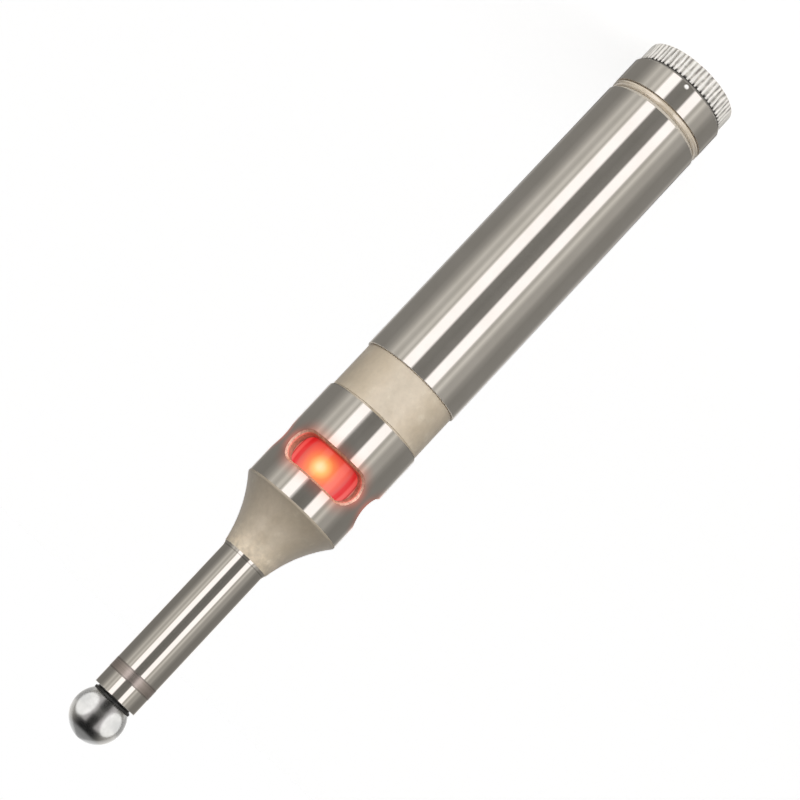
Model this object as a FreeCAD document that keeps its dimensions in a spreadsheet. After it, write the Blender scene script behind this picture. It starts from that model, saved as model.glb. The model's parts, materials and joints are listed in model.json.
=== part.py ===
import FreeCAD, Part
import math
import os
from types import SimpleNamespace

import Sketcher
from FreeCAD import Placement, Rotation, Vector

# A photoelectric edge finder, in millimetres. It stands on the flat end of its knurled
# battery cap, +Z runs up its axis to the ball, and the origin is the middle of that end.
# Each piece is drawn in its own frame, from its lower end up, and placed along the axis.

SIZES = {
    # knurled battery cap
    "knurl_setback": 0.425,
    "knurl_length": 3.85,
    "knurl_teeth": 60,
    "knurl_depth": 0.34,
    "knurl_land": 0.3,
    "knurl_flank": 0.5,
    "cap_edge": 0.45,
    "cap_back_edge": 0.12,
    "cap_floor": 2.0,
    "cap_hollow_gap": 0.35,
    "thread_length": 5.0,
    "thread_pitch": 1.0,
    "thread_groove": 0.3,
    "thread_runout": 0.6,
    "washer_thickness": 0.12,
    "washer_setback": 0.6,
    # end collar, its lock pin and the tan ring
    "collar_setback": 0.02,
    "collar_length": 5.7,
    "collar_chamfer": 0.55,
    "lock_pin_diameter": 1.0,
    "lock_pin_height": 1.1,
    "lock_pin_length": 1.85,
    "lock_pin_dome": 0.08,
    "seal_setback": 0.05,
    "seal_thickness": 1.35,
    "seal_crown": 0.55,
    # straight shank
    "shank_diameter": 20.0,
    "shank_length": 64.9,
    "shank_lead": 0.7,
    "shank_lead_depth": 0.55,
    "shank_edge": 0.1,
    "spigot_step": 1.2,
    "spigot_wall": 0.9,
    "spigot_recess": 0.3,
    # batteries and their sleeve
    "battery_diameter": 12.0,
    "battery_length": 30.2,
    "battery_nose_diameter": 4.0,
    "battery_nose": 0.6,
    "battery_edge": 0.4,
    "battery_lift": 6.4,
    "battery_play": 1.2,
    "sleeve_wall": 0.5,
    # insulating core between shank and head
    "band_setback": 0.3,
    "band_length": 9.6,
    "band_edge": 0.12,
    "core_head": 6.2,
    "board_diameter": 12.4,
    "board_thickness": 1.0,
    "board_recess": 2.5,
    # contact plunger and its bush
    "bush_diameter": 6.4,
    "bush_length": 1.5,
    "plunger_diameter": 3.0,
    "plunger_flange": 4.6,
    "plunger_flange_thickness": 1.0,
    "plunger_slack": 0.5,
    "plunger_nose": 0.5,
    "plunger_stem_diameter": 2.2,
    "plunger_stem": 4.0,
    # head with its windows and the lens behind them
    "head_proud": 0.05,
    "head_length": 20.9,
    "head_wall": 2.2,
    "head_edge": 0.35,
    "window_count": 3,
    "window_width": 6.2,
    "window_sweep": 60.0,
    "window_height": 12.7,
    "window_turn": 5.3,
    "window_chamfer": 0.4,
    "lens_gap": 0.3,
    "lens_edge": 0.2,
    # lamp post, lamps and resistor
    "post_width": 3.1,
    "post_foot_diameter": 5.2,
    "post_foot": 0.8,
    "lamp_diameter": 1.8,
    "lamp_flange_diameter": 2.2,
    "lamp_flange": 0.3,
    "lamp_barrel": 0.95,
    "resistor_diameter": 1.2,
    "resistor_barrel": 1.0,
    "resistor_length": 2.4,
    "resistor_cap": 0.4,
    "resistor_radius": 4.2,
    # insulating cone and the nut inside it
    "cone_length": 11.8,
    "cone_land": 0.3,
    "cone_flare": 25.0,
    "cone_round": 0.6,
    "cone_foot": 2.0,
    "nut_sink": 0.2,
    "nut_width": 8.0,
    "nut_height": 3.0,
    "stud_diameter": 5.0,
    "stud_tail": 0.5,
    # stylus
    "stylus_diameter": 8.9,
    "stylus_length": 32.5,
    "stylus_flare": 1.1,
    "stylus_spread": 0.28,
    "stylus_edge": 0.06,
    "stylus_bore": 5.8,
    "stylus_bore_end": 1.05,
    "stylus_lip": 1.0,
    "inlay_setback": 3.45,
    "inlay_width": 2.15,
    "inlay_depth": 0.5,
    # seat, ball, wire and return spring
    "seat_spigot": 4.0,
    "seat_neck_diameter": 7.0,
    "seat_neck": 0.15,
    "seat_taper": 0.27,
    "seat_lip": 0.35,
    "seat_lip_diameter": 7.76,
    "seat_hole": 2.6,
    "seat_mouth": 4.6,
    "seat_throat": 1.2,
    "ball_diameter": 10.0,
    "ball_hole_depth": 3.2,
    "wire_diameter": 0.8,
    "wire_length": 25.0,
    "wire_head_diameter": 1.8,
    "wire_head": 0.6,
    "cup_diameter": 5.0,
    "cup_thickness": 1.0,
    "cup_hub_diameter": 2.6,
    "cup_hub": 1.2,
    # coil springs: wire, mean diameter and whole turns
    "cap_spring_wire": 0.7,
    "cap_spring_diameter": 9.0,
    "cap_spring_turns": 3,
    "plunger_spring_wire": 0.5,
    "plunger_spring_diameter": 3.6,
    "plunger_spring_turns": 5,
    "stylus_spring_wire": 0.4,
    "stylus_spring_diameter": 2.4,
    "stylus_spring_turns": 3,
    "stylus_spring_length": 2.6,
    "return_spring_wire": 0.6,
    "return_spring_diameter": 3.9,
    "return_spring_turns": 6,
    # clearances
    "seated_gap": 0.05,
    "moving_gap": 0.05,
    "pressed_gap": 0.01,
    "loose_gap": 0.15,
}

LEFT_TURN = 1
RIGHT_TURN = -1
AXES = {"X": Vector(1, 0, 0), "Y": Vector(0, 1, 0), "Z": Vector(0, 0, 1)}
# how far a cutting sketch reaches past the surface that it opens
OVERSHOOT = 1.0
THREAD_OVERSHOOT = 0.1
# the side that faces -Y, in degrees from +X
FRONT = -90
NEAR = 1e-4


class Size:
    """A length: its value in millimetres, and the sheet formula that the model is bound to."""

    def __init__(self, value, formula):
        self.value = float(value)
        self.formula = formula

    @staticmethod
    def of(item):
        return item if isinstance(item, Size) else Size(item, repr(item))

    def joined(self, sign, other, value):
        return Size(value, "(%s %s %s)" % (self.formula, sign, other.formula))

    def __add__(self, other):
        other = Size.of(other)
        return self.joined("+", other, self.value + other.value)

    def __sub__(self, other):
        other = Size.of(other)
        return self.joined("-", other, self.value - other.value)

    def __mul__(self, other):
        other = Size.of(other)
        return self.joined("*", other, self.value * other.value)

    def __truediv__(self, other):
        other = Size.of(other)
        return self.joined("/", other, self.value / other.value)

    def root(self):
        return Size(math.sqrt(self.value), "sqrt(%s)" % self.formula)

    def squared(self):
        return self * self


def make_sheet(doc):
    """Write the driving dimensions into the sheet and return them as Sizes by name."""
    sheet = doc.addObject("Spreadsheet::Sheet", "Sizes")
    for row, (alias, value) in enumerate(SIZES.items(), start=1):
        sheet.set("A%d" % row, alias.replace("_", " "))
        sheet.set("B%d" % row, str(value))
        sheet.setAlias("B%d" % row, alias)
    doc.recompute()
    return SimpleNamespace(**{name: Size(value, "Sizes." + name) for name, value in SIZES.items()})


def new_body(doc, name):
    body = doc.addObject("PartDesign::Body", name)
    body.Label = name
    return body


def origin_part(body, role):
    return next(item for item in body.Origin.OriginFeatures if item.Role == role)


def new_sketch(body, name, plane="XZ_Plane", height=None):
    """An empty sketch on one of the body's own planes, raised along the plane's normal."""
    sketch = body.newObject("Sketcher::SketchObject", name)
    sketch.AttachmentSupport = [(origin_part(body, plane), "")]
    sketch.MapMode = "FlatFace"
    if height is not None:
        sketch.setExpression("AttachmentOffset.Base.z", height.formula)
    return sketch


def hold(sketch, kind, geometry, point, size):
    """Hold a sketch point at a distance from the sketch's origin, along X or Y."""
    if size.value == 0:
        axis = -2 if kind == "DistanceX" else -1
        sketch.addConstraint(Sketcher.Constraint("PointOnObject", geometry, point, axis))
        return
    index = sketch.addConstraint(
        Sketcher.Constraint(kind, -1, 1, geometry, point, size.value))
    sketch.setExpression("Constraints[%d]" % index, size.formula)


def hold_radius(sketch, geometry, size):
    index = sketch.addConstraint(Sketcher.Constraint("Radius", geometry, size.value))
    sketch.setExpression("Constraints[%d]" % index, size.formula)


def arc_between(start, end, radius, turn):
    """The shorter arc of a radius from start to end, turning left or right on its way."""
    chord = end - start
    reach = math.sqrt(max(radius ** 2 - chord.Length ** 2 / 4, 0.0))
    left = Vector(-chord.y, chord.x, 0).normalize()
    centre = (start + end) / 2 + left * (turn * reach)
    first, last = (start, end) if turn == LEFT_TURN else (end, start)
    angles = [math.atan2(point.y - centre.y, point.x - centre.x) for point in (first, last)]
    if angles[1] < angles[0]:
        angles[1] += 2 * math.pi
    return Part.ArcOfCircle(Part.Circle(centre, Vector(0, 0, 1), radius), *angles)


def draw_outline(sketch, outline):
    """Draw a closed outline. A corner is (x, y), or (x, y, radius, turn) where an arc leaves it."""
    corners = [[Size.of(item) for item in corner[:3]] + list(corner[3:]) for corner in outline]
    ends = []
    for corner, following in zip(corners, corners[1:] + corners[:1]):
        start = Vector(corner[0].value, corner[1].value, 0)
        end = Vector(following[0].value, following[1].value, 0)
        if len(corner) == 2:
            geometry = sketch.addGeometry(Part.LineSegment(start, end))
            ends.append((geometry, 1, 2))
            continue
        radius, turn = corner[2:]
        geometry = sketch.addGeometry(arc_between(start, end, radius.value, turn))
        if abs((end - start).Length - radius.value * 2) < NEAR:
            sketch.addConstraint(
                Sketcher.Constraint("Symmetric", geometry, 1, geometry, 2, geometry, 3))
        else:
            hold_radius(sketch, geometry, radius)
        ends.append((geometry, 1, 2) if turn == LEFT_TURN else (geometry, 2, 1))
    for index, (geometry, first, _last) in enumerate(ends):
        before, _first, out = ends[index - 1]
        sketch.addConstraint(Sketcher.Constraint("Coincident", before, out, geometry, first))
        hold(sketch, "DistanceX", geometry, first, corners[index][0])
        hold(sketch, "DistanceY", geometry, first, corners[index][1])
    return sketch


def draw_circle(sketch, x, y, radius):
    x, y = Size.of(x), Size.of(y)
    circle = Part.Circle(Vector(x.value, y.value, 0), Vector(0, 0, 1), radius.value)
    geometry = sketch.addGeometry(circle)
    hold_radius(sketch, geometry, radius)
    hold(sketch, "DistanceX", geometry, 3, x)
    hold(sketch, "DistanceY", geometry, 3, y)
    return sketch


def draw_hexagon(sketch, width):
    """A regular hexagon about the sketch's origin, by its width across flats."""
    radius = width / math.sqrt(3)
    rim = sketch.addGeometry(
        Part.Circle(Vector(0, 0, 0), Vector(0, 0, 1), radius.value), True)
    hold_radius(sketch, rim, radius)
    sketch.addConstraint(Sketcher.Constraint("Coincident", rim, 3, -1, 1))
    sides = 6
    corners = [Vector(math.cos(2 * math.pi * side / sides), math.sin(2 * math.pi * side / sides), 0)
               * radius.value for side in range(sides)]
    lines = [sketch.addGeometry(Part.LineSegment(corners[side], corners[(side + 1) % sides]))
             for side in range(sides)]
    for side, line in enumerate(lines):
        sketch.addConstraint(Sketcher.Constraint("Coincident", lines[side - 1], 2, line, 1))
        sketch.addConstraint(Sketcher.Constraint("PointOnObject", line, 1, rim))
        if side:
            sketch.addConstraint(Sketcher.Constraint("Equal", lines[0], line))
    sketch.addConstraint(Sketcher.Constraint("PointOnObject", lines[0], 1, -1))
    return sketch


def turned(doc, name, outline):
    """A turned piece: its half section, revolved about Z."""
    body = new_body(doc, name)
    sketch = draw_outline(new_sketch(body, name + "_section"), outline)
    turning = body.newObject("PartDesign::Revolution", name + "_turned")
    turning.Profile = sketch
    turning.ReferenceAxis = (sketch, ["V_Axis"])
    turning.Angle = 360
    doc.recompute()
    return body


def ring(doc, name, inner, outer, length, edge=None):
    """A plain tube from its inner and outer radii, with chamfered outer edges if asked."""
    if edge is None:
        outline = [(inner, 0), (outer, 0), (outer, length), (inner, length)]
    else:
        outline = [(inner, 0), (outer - edge, 0), (outer, edge), (outer, length - edge),
                   (outer - edge, length), (inner, length)]
    return turned(doc, name, outline)


def pocket(body, name, sketch, length=None):
    """Cut a sketch through the whole body both ways, or to a length against its normal."""
    cut = body.newObject("PartDesign::Pocket", name)
    cut.Profile = sketch
    if length is None:
        cut.Type = "ThroughAll"
        cut.SideType = "Symmetric"
    else:
        cut.setExpression("Length", length.formula)
    return cut


def pad(body, name, sketch, length):
    block = body.newObject("PartDesign::Pad", name)
    block.Profile = sketch
    block.setExpression("Length", length.formula)
    return block


def around(body, name, originals, count):
    """Repeat features evenly about Z."""
    pattern = body.newObject("PartDesign::PolarPattern", name)
    pattern.Originals = originals
    pattern.Axis = (origin_part(body, "Z_Axis"), [""])
    pattern.Angle = 360
    pattern.setExpression("Occurrences", count.formula)
    body.Tip = pattern
    return pattern


def place(body, height, axis="Z", degrees=0):
    """Set a piece at its height on the tool's axis, turned about one of its own axes."""
    body.Placement = Placement(Vector(0, 0, Size.of(height).value), Rotation(AXES[axis], degrees))
    body.setExpression("Placement.Base.z", Size.of(height).formula)
    return body


def place_radially(body, height, distance, azimuth):
    """Set a piece with its own Z pointing out from the tool's axis."""
    turn = math.radians(azimuth.value)
    x = distance * Size(math.cos(turn), "cos(%s * 1deg)" % azimuth.formula)
    y = distance * Size(math.sin(turn), "sin(%s * 1deg)" % azimuth.formula)
    outward = Rotation(AXES["Z"], azimuth.value).multiply(Rotation(AXES["Y"], 90))
    body.Placement = Placement(Vector(x.value, y.value, height.value), outward)
    for side, size in (("x", x), ("y", y), ("z", height)):
        body.setExpression("Placement.Base." + side, size.formula)
    return body


def coil_spring(doc, name, wire, diameter, turns, length):
    """An open coil spring that stands on its lower end and is length long over its wire.

    Each half turn is round an axis that leans, so that it climbs to meet the next one.
    """
    body = new_body(doc, name)
    climb = (length - wire) / turns / 2
    halves = [half_turn(body, name + "_out", wire, diameter / 2, climb, 1),
              half_turn(body, name + "_back", wire, diameter / 2, climb, -1)]
    doc.recompute()
    coil = body.newObject("PartDesign::LinearPattern", name + "_coil")
    coil.Originals = halves
    coil.Direction = (origin_part(body, "Z_Axis"), [""])
    coil.Mode = "Spacing"
    coil.setExpression("Offset", (climb * 2).formula)
    coil.setExpression("Occurrences", turns.formula)
    body.Tip = coil
    doc.recompute()
    return body


def half_turn(body, name, wire, radius, climb, side):
    """Half a turn of wire that starts at +X (side 1) or, half a turn higher, at -X (side -1)."""
    start = wire / 2 if side == 1 else wire / 2 + climb
    middle = start + climb / 2
    sketch = draw_circle(new_sketch(body, name + "_wire"), radius * side, start, wire / 2)
    foot = [Size.of(0), middle]
    tip = [climb / 2 * side, middle + radius]
    axis = sketch.addGeometry(Part.LineSegment(
        *[Vector(x.value, y.value, 0) for x, y in (foot, tip)]), True)
    for point, (x, y) in enumerate((foot, tip), start=1):
        hold(sketch, "DistanceX", axis, point, x)
        hold(sketch, "DistanceY", axis, point, y)
    turn = body.newObject("PartDesign::Revolution", name)
    turn.Profile = sketch
    turn.ReferenceAxis = (sketch, ["Axis0"])
    turn.Angle = 180
    return turn


def stack_levels(d):
    """Heights of the joints between the pieces that show, from the cap up to the ball."""
    z = SimpleNamespace()
    z.cap_back = d.knurl_length
    z.cap_top = z.cap_back + d.washer_thickness + d.thread_length
    z.thread_end = z.cap_top + d.thread_runout
    z.collar_base = z.cap_back + d.washer_thickness
    z.seal_base = z.collar_base + d.collar_length
    z.shank_base = z.seal_base + d.seal_thickness
    z.band_base = z.shank_base + d.shank_length
    z.head_base = z.band_base + d.band_length
    z.cone_base = z.head_base + d.head_length
    z.stylus_base = z.cone_base + d.cone_length
    z.seat_base = z.stylus_base + d.stylus_length
    z.ball_centre = z.seat_base + ball_rise(d)
    # inside the shank, the core and the head
    z.rear_battery = d.battery_lift
    z.front_battery = z.rear_battery + d.battery_length
    z.plunger_tip = z.front_battery + d.battery_length
    z.core_foot = z.plunger_tip + d.battery_play
    z.core_top = z.head_base + d.core_head
    z.board_base = z.core_top - d.board_recess
    z.post_base = z.board_base + d.board_thickness
    z.window = z.head_base + d.window_height
    z.cone_foot = z.cone_base - d.cone_foot
    z.nut_base = z.cone_foot + d.nut_sink
    z.stud_tip = z.nut_base - d.stud_tail
    z.post_top = z.stud_tip - d.stylus_spring_length
    # inside the stylus
    z.seat_foot = z.seat_base - d.seat_spigot
    z.wire_top = z.ball_centre - d.ball_diameter / 2 + d.ball_hole_depth - d.moving_gap
    z.cup_base = z.wire_top - d.wire_length
    z.bore_floor = z.cup_base - d.wire_head - d.stylus_bore_end
    return z


def add_fits(d):
    """Radii that one piece takes from another."""
    r = d.radius = SimpleNamespace()
    r.shank = d.shank_diameter / 2
    r.knurl = r.shank - d.knurl_setback
    r.collar = r.shank - d.collar_setback
    r.seal = r.shank - d.seal_setback
    r.spigot = r.shank - d.spigot_step
    r.thread_bore = r.spigot - d.spigot_wall
    r.thread = r.thread_bore - d.moving_gap
    r.battery = d.battery_diameter / 2
    r.sleeve_bore = r.battery + d.loose_gap
    r.sleeve = r.sleeve_bore + d.sleeve_wall
    r.battery_bore = r.sleeve + d.loose_gap
    r.head = r.shank + d.head_proud
    r.head_bore = r.head - d.head_wall
    r.head_fit = r.head_bore - d.seated_gap
    r.stylus = d.stylus_diameter / 2
    r.stylus_root = r.stylus + d.stylus_spread
    r.seat_bore = r.stylus - d.stylus_lip
    r.ball = d.ball_diameter / 2


def ball_rise(d):
    """How far the ball's centre is above the stylus's end face, when it is on its seat."""
    hollow = d.radius.ball + d.moving_gap
    lip = d.seat_lip_diameter / 2
    return d.seat_neck + d.seat_taper + d.seat_lip + (hollow.squared() - lip.squared()).root()


def battery_cap(doc, d, z):
    """Screw cap: a knurled head with a threaded spigot, bored for the battery spring."""
    radius = d.radius.knurl
    spigot = d.radius.thread
    hollow = d.radius.battery + d.cap_hollow_gap
    top = z.cap_top
    body = turned(doc, "battery_cap", [
        (0, 0), (radius - d.cap_edge, 0), (radius, d.cap_edge),
        (radius, d.knurl_length - d.cap_back_edge), (radius - d.cap_back_edge, d.knurl_length),
        (spigot, d.knurl_length), (spigot, top - d.cap_edge), (spigot - d.cap_edge, top),
        (hollow, top), (hollow, d.cap_floor), (0, d.cap_floor)])
    thread_grooves(doc, body, d, z, spigot)
    tooth_gap(doc, body, d, radius)
    return place(body, 0)


def thread_grooves(doc, body, d, z, spigot):
    """V grooves one pitch apart, which stand for the cap's thread."""
    half = d.thread_groove
    first = z.collar_base + half * 2
    reach = half + THREAD_OVERSHOOT
    sketch = draw_outline(new_sketch(body, "thread_section"), [
        (spigot - d.thread_groove, first), (spigot + THREAD_OVERSHOOT, first - reach),
        (spigot + THREAD_OVERSHOOT, first + reach)])
    groove = body.newObject("PartDesign::Groove", "thread_groove")
    groove.Profile = sketch
    groove.ReferenceAxis = (sketch, ["V_Axis"])
    groove.Angle = 360
    doc.recompute()
    rows = body.newObject("PartDesign::LinearPattern", "thread_rows")
    rows.Originals = [groove]
    rows.Direction = (origin_part(body, "Z_Axis"), [""])
    rows.Mode = "Spacing"
    rows.setExpression("Offset", d.thread_pitch.formula)
    count = (d.thread_length - d.cap_edge) / d.thread_pitch
    rows.setExpression("Occurrences", "floor(%s)" % count.formula)
    body.Tip = rows
    doc.recompute()


def tooth_gap(doc, body, d, radius):
    """One gap of the straight knurl, its flanks rounded over, repeated round the cap."""
    pitch = radius * (2 * math.pi) / d.knurl_teeth
    half = (pitch - d.knurl_land) / 2
    sketch = draw_outline(new_sketch(body, "tooth_gap", "XY_Plane"), [
        (radius - d.knurl_depth, 0, d.knurl_flank, RIGHT_TURN),
        (radius, half * -1), (radius + OVERSHOOT, half * -1),
        (radius + OVERSHOOT, half), (radius, half, d.knurl_flank, RIGHT_TURN)])
    gap = pocket(body, "tooth_gap_cut", sketch)
    doc.recompute()
    around(body, "knurl", [gap], d.knurl_teeth)
    doc.recompute()


def cap_washer(doc, d, z):
    inner = d.radius.thread + d.loose_gap
    outer = d.radius.knurl - d.washer_setback
    body = ring(doc, "cap_washer", inner, outer, d.washer_thickness)
    return place(body, z.cap_back)


def cap_spring(doc, d, z):
    body = coil_spring(doc, "cap_spring", d.cap_spring_wire, d.cap_spring_diameter,
                       d.cap_spring_turns, d.battery_lift - d.cap_floor)
    return place(body, d.cap_floor)


def end_collar(doc, d, z):
    """Plain collar round the shank's spigot, with a hole for its lock pin."""
    outer = d.radius.collar
    inner = d.radius.spigot + d.seated_gap
    body = turned(doc, "end_collar", [
        (inner, 0), (outer - d.collar_chamfer, 0), (outer, d.collar_chamfer),
        (outer, d.collar_length), (inner, d.collar_length)])
    lock_pin_hole(body, d, d.lock_pin_height)
    doc.recompute()
    return place(body, z.collar_base)


def lock_pin_hole(body, d, height):
    """A radial hole in the front wall, -Y, for the collar's lock pin."""
    sketch = draw_circle(new_sketch(body, "lock_pin_hole"), 0, height,
                         d.lock_pin_diameter / 2 + d.pressed_gap)
    hole = pocket(body, "lock_pin_hole_cut", sketch, d.shank_diameter)
    hole.Reversed = True
    return hole


def collar_lock_pin(doc, d, z):
    """Short pin across the collar and the spigot, its outer end a low dome."""
    radius = d.lock_pin_diameter / 2
    dome = d.lock_pin_dome
    bow = (radius.squared() + dome.squared()) / (dome * 2)
    body = turned(doc, "collar_lock_pin", [
        (0, 0), (radius, 0), (radius, d.lock_pin_length - dome, bow, LEFT_TURN),
        (0, d.lock_pin_length)])
    start = d.radius.collar - d.lock_pin_length
    return place_radially(body, z.collar_base + d.lock_pin_height, start, Size.of(FRONT))


def seal_ring(doc, d, z):
    """Ring between shank and collar, crowned on its outside."""
    inner = d.radius.spigot + d.seated_gap
    shoulder = d.radius.seal - d.seal_crown
    bow = (d.seal_thickness.squared() / 4 + d.seal_crown.squared()) / (d.seal_crown * 2)
    body = turned(doc, "seal_ring", [
        (inner, 0), (shoulder, 0, bow, LEFT_TURN), (shoulder, d.seal_thickness),
        (inner, d.seal_thickness)])
    return place(body, z.seal_base)


def shank_tube(doc, d, z):
    """Straight shank, bored for the batteries, with a spigot that takes ring, collar and cap."""
    outer = d.radius.shank
    spigot = d.radius.spigot
    thread = d.radius.thread_bore
    bore = d.radius.battery_bore
    base = z.collar_base + d.spigot_recess
    shoulder = z.shank_base - base
    top = z.band_base - base
    thread_end = z.thread_end - base
    body = turned(doc, "shank_tube", [
        (thread, 0), (spigot, 0), (spigot, shoulder), (outer - d.shank_lead_depth, shoulder),
        (outer, shoulder + d.shank_lead), (outer, top - d.shank_edge),
        (outer - d.shank_edge, top), (bore, top), (bore, thread_end), (thread, thread_end)])
    lock_pin_hole(body, d, d.lock_pin_height - d.spigot_recess)
    doc.recompute()
    return place(body, base)


def battery_sleeve(doc, d, z):
    base = z.cap_top + d.loose_gap
    body = ring(doc, "battery_sleeve", d.radius.sleeve_bore, d.radius.sleeve, z.core_foot - base)
    return place(body, base)


def battery(doc, d, name, height):
    """A small round cell with its button up."""
    radius = d.radius.battery
    nose = d.battery_nose_diameter / 2
    edge = d.battery_edge
    shoulder = d.battery_length - d.battery_nose
    body = turned(doc, name, [
        (0, 0), (radius - edge, 0), (radius, edge), (radius, shoulder - edge),
        (radius - edge, shoulder), (nose, shoulder), (nose, d.battery_length),
        (0, d.battery_length)])
    return place(body, height)


def batteries(doc, d, z):
    battery(doc, d, "battery_rear", z.rear_battery)
    battery(doc, d, "battery_front", z.front_battery)


def contact_plunger(doc, d, z):
    """Pin with a flange: its nose presses on the front battery, its stem guides the spring."""
    radius = d.plunger_diameter / 2
    flange = d.plunger_flange / 2
    stem = d.plunger_stem_diameter / 2
    tail = plunger_tail(d)
    flange_top = tail + d.plunger_flange_thickness
    body = turned(doc, "contact_plunger", [
        (0, 0), (radius - d.plunger_nose, 0), (radius, d.plunger_nose), (radius, tail),
        (flange, tail), (flange, flange_top), (stem, flange_top),
        (stem, flange_top + d.plunger_stem), (0, flange_top + d.plunger_stem)])
    return place(body, z.plunger_tip)


def plunger_tail(d):
    """Length of the plunger below its flange: through the bush, with some slack above it."""
    return d.battery_play + d.bush_length + d.plunger_slack


def plunger_bush(doc, d, z):
    inner = d.plunger_diameter / 2 + d.moving_gap
    body = ring(doc, "plunger_bush", inner, d.bush_diameter / 2, d.bush_length)
    return place(body, z.core_foot)


def plunger_spring(doc, d, z):
    base = z.plunger_tip + plunger_tail(d) + d.plunger_flange_thickness
    body = coil_spring(doc, "plunger_spring", d.plunger_spring_wire, d.plunger_spring_diameter,
                       d.plunger_spring_turns, z.board_base - base)
    return place(body, base)


def insulating_core(doc, d, z):
    """Core that joins shank and head: a foot, the band that shows, and a spigot with a recess."""
    foot = d.radius.battery_bore - d.seated_gap
    spigot = d.radius.head_fit
    band = d.radius.shank - d.band_setback
    bore = d.plunger_flange / 2 + d.loose_gap
    mouth = d.bush_diameter / 2 + d.pressed_gap
    recess = d.board_diameter / 2 + d.seated_gap
    band_base = z.band_base - z.core_foot
    band_top = band_base + d.band_length
    top = band_top + d.core_head
    edge = d.band_edge
    body = turned(doc, "insulating_core", [
        (mouth, 0), (foot, 0), (foot, band_base), (band - edge, band_base),
        (band, band_base + edge), (band, band_top - edge), (band - edge, band_top),
        (spigot, band_top), (spigot, top), (recess, top), (recess, top - d.board_recess),
        (bore, top - d.board_recess), (bore, d.bush_length), (mouth, d.bush_length)])
    return place(body, z.core_foot)


def circuit_board(doc, d, z):
    radius = d.board_diameter / 2
    body = turned(doc, "circuit_board", [
        (0, 0), (radius, 0), (radius, d.board_thickness), (0, d.board_thickness)])
    return place(body, z.board_base)


def resistor(doc, d, z):
    """Small round resistor that lies on the board, its ends a little thicker."""
    cap = d.resistor_diameter / 2
    barrel = d.resistor_barrel / 2
    body = turned(doc, "resistor", [
        (0, 0), (cap, 0), (cap, d.resistor_cap), (barrel, d.resistor_cap),
        (barrel, d.resistor_length - d.resistor_cap), (cap, d.resistor_length - d.resistor_cap),
        (cap, d.resistor_length), (0, d.resistor_length)])
    place(body, z.post_base + cap, "X", -90)
    body.setExpression("Placement.Base.x", d.resistor_radius.formula)
    body.setExpression("Placement.Base.y", (d.resistor_length / -2).formula)
    return body


def led_post(doc, d, z):
    """Hexagonal post on a round foot, three of its flats facing the windows."""
    foot = d.post_foot_diameter / 2
    body = turned(doc, "led_post", [(0, 0), (foot, 0), (foot, d.post_foot), (0, d.post_foot)])
    sketch = draw_hexagon(new_sketch(body, "post_section", "XY_Plane", d.post_foot), d.post_width)
    pad(body, "post", sketch, z.post_top - z.post_base - d.post_foot)
    doc.recompute()
    return place(body, z.post_base, "Z", d.window_turn.value)


def lamps(doc, d, z):
    """One domed lamp on the post behind the middle of each window."""
    radius = d.lamp_diameter / 2
    flange = d.lamp_flange_diameter / 2
    shoulder = d.lamp_flange + d.lamp_barrel
    for name, azimuth in zip(("led_front", "led_right", "led_left"), window_azimuths(d)):
        body = turned(doc, name, [
            (0, 0), (flange, 0), (flange, d.lamp_flange), (radius, d.lamp_flange),
            (radius, shoulder, radius, LEFT_TURN), (0, shoulder + radius)])
        place_radially(body, z.window, d.post_width / 2, azimuth)


def window_azimuths(d):
    """Directions of the windows' middles, in degrees from +X, the front one first."""
    step = Size.of(360) / d.window_count
    return [d.window_turn + FRONT + step * index for index in range(int(d.window_count.value))]


def signal_lens(doc, d, z):
    lamp_reach = d.post_width / 2 + d.lamp_flange + d.lamp_barrel + d.lamp_diameter / 2
    body = ring(doc, "signal_lens", lamp_reach + d.lens_gap, d.radius.head_fit,
                z.cone_foot - z.core_top, d.lens_edge)
    return place(body, z.core_top)


def window_housing(doc, d, z):
    """Head: a tube with milled arc windows, round at their ends and chamfered outside."""
    inner = d.radius.head_bore
    outer = d.radius.head
    half = d.window_width / 2
    body = turned(doc, "window_housing", [
        (inner, 0), (outer - d.head_edge, 0), (outer, d.head_edge),
        (outer, d.head_length), (inner, d.head_length)])
    section = draw_outline(new_sketch(body, "window_section"), [
        (inner - OVERSHOOT, d.window_height - half), (outer + OVERSHOOT, d.window_height - half),
        (outer + OVERSHOOT, d.window_height + half), (inner - OVERSHOOT, d.window_height + half)])
    milled = body.newObject("PartDesign::Groove", "window_arc")
    milled.Profile = section
    milled.ReferenceAxis = (section, ["V_Axis"])
    milled.Midplane = True
    milled.setExpression("Angle", d.window_sweep.formula)
    doc.recompute()
    cuts = [milled]
    for name, side in (("window_start", -1), ("window_finish", 1)):
        cuts.append(window_end(body, d, name, side, outer + OVERSHOOT, half))
    doc.recompute()
    pattern = around(body, "windows", cuts, d.window_count)
    doc.recompute()
    rim = body.newObject("PartDesign::Chamfer", "window_rims")
    rim.Base = (pattern, edges_on(pattern.Shape, outer.value, d.window_height.value,
                                  d.window_width.value))
    rim.setExpression("Size", d.window_chamfer.formula)
    doc.recompute()
    return place(body, z.head_base, "Z", (d.window_turn + FRONT).value)


def window_end(body, d, name, side, reach, radius):
    """The round end that the cutter leaves where its sweep starts or stops."""
    sketch = new_sketch(body, name, "YZ_Plane")
    turn = d.window_sweep * side / 2
    sketch.AttachmentOffset = Placement(Vector(0, 0, 0), Rotation(AXES["Y"], turn.value))
    low, high = d.window_height - radius * side, d.window_height + radius * side
    draw_outline(sketch, [
        (0, low, radius, LEFT_TURN), (0, high), (-side * OVERSHOOT, high), (-side * OVERSHOOT, low)])
    cut = pocket(body, name + "_cut", sketch, reach)
    cut.Reversed = True
    return cut


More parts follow.
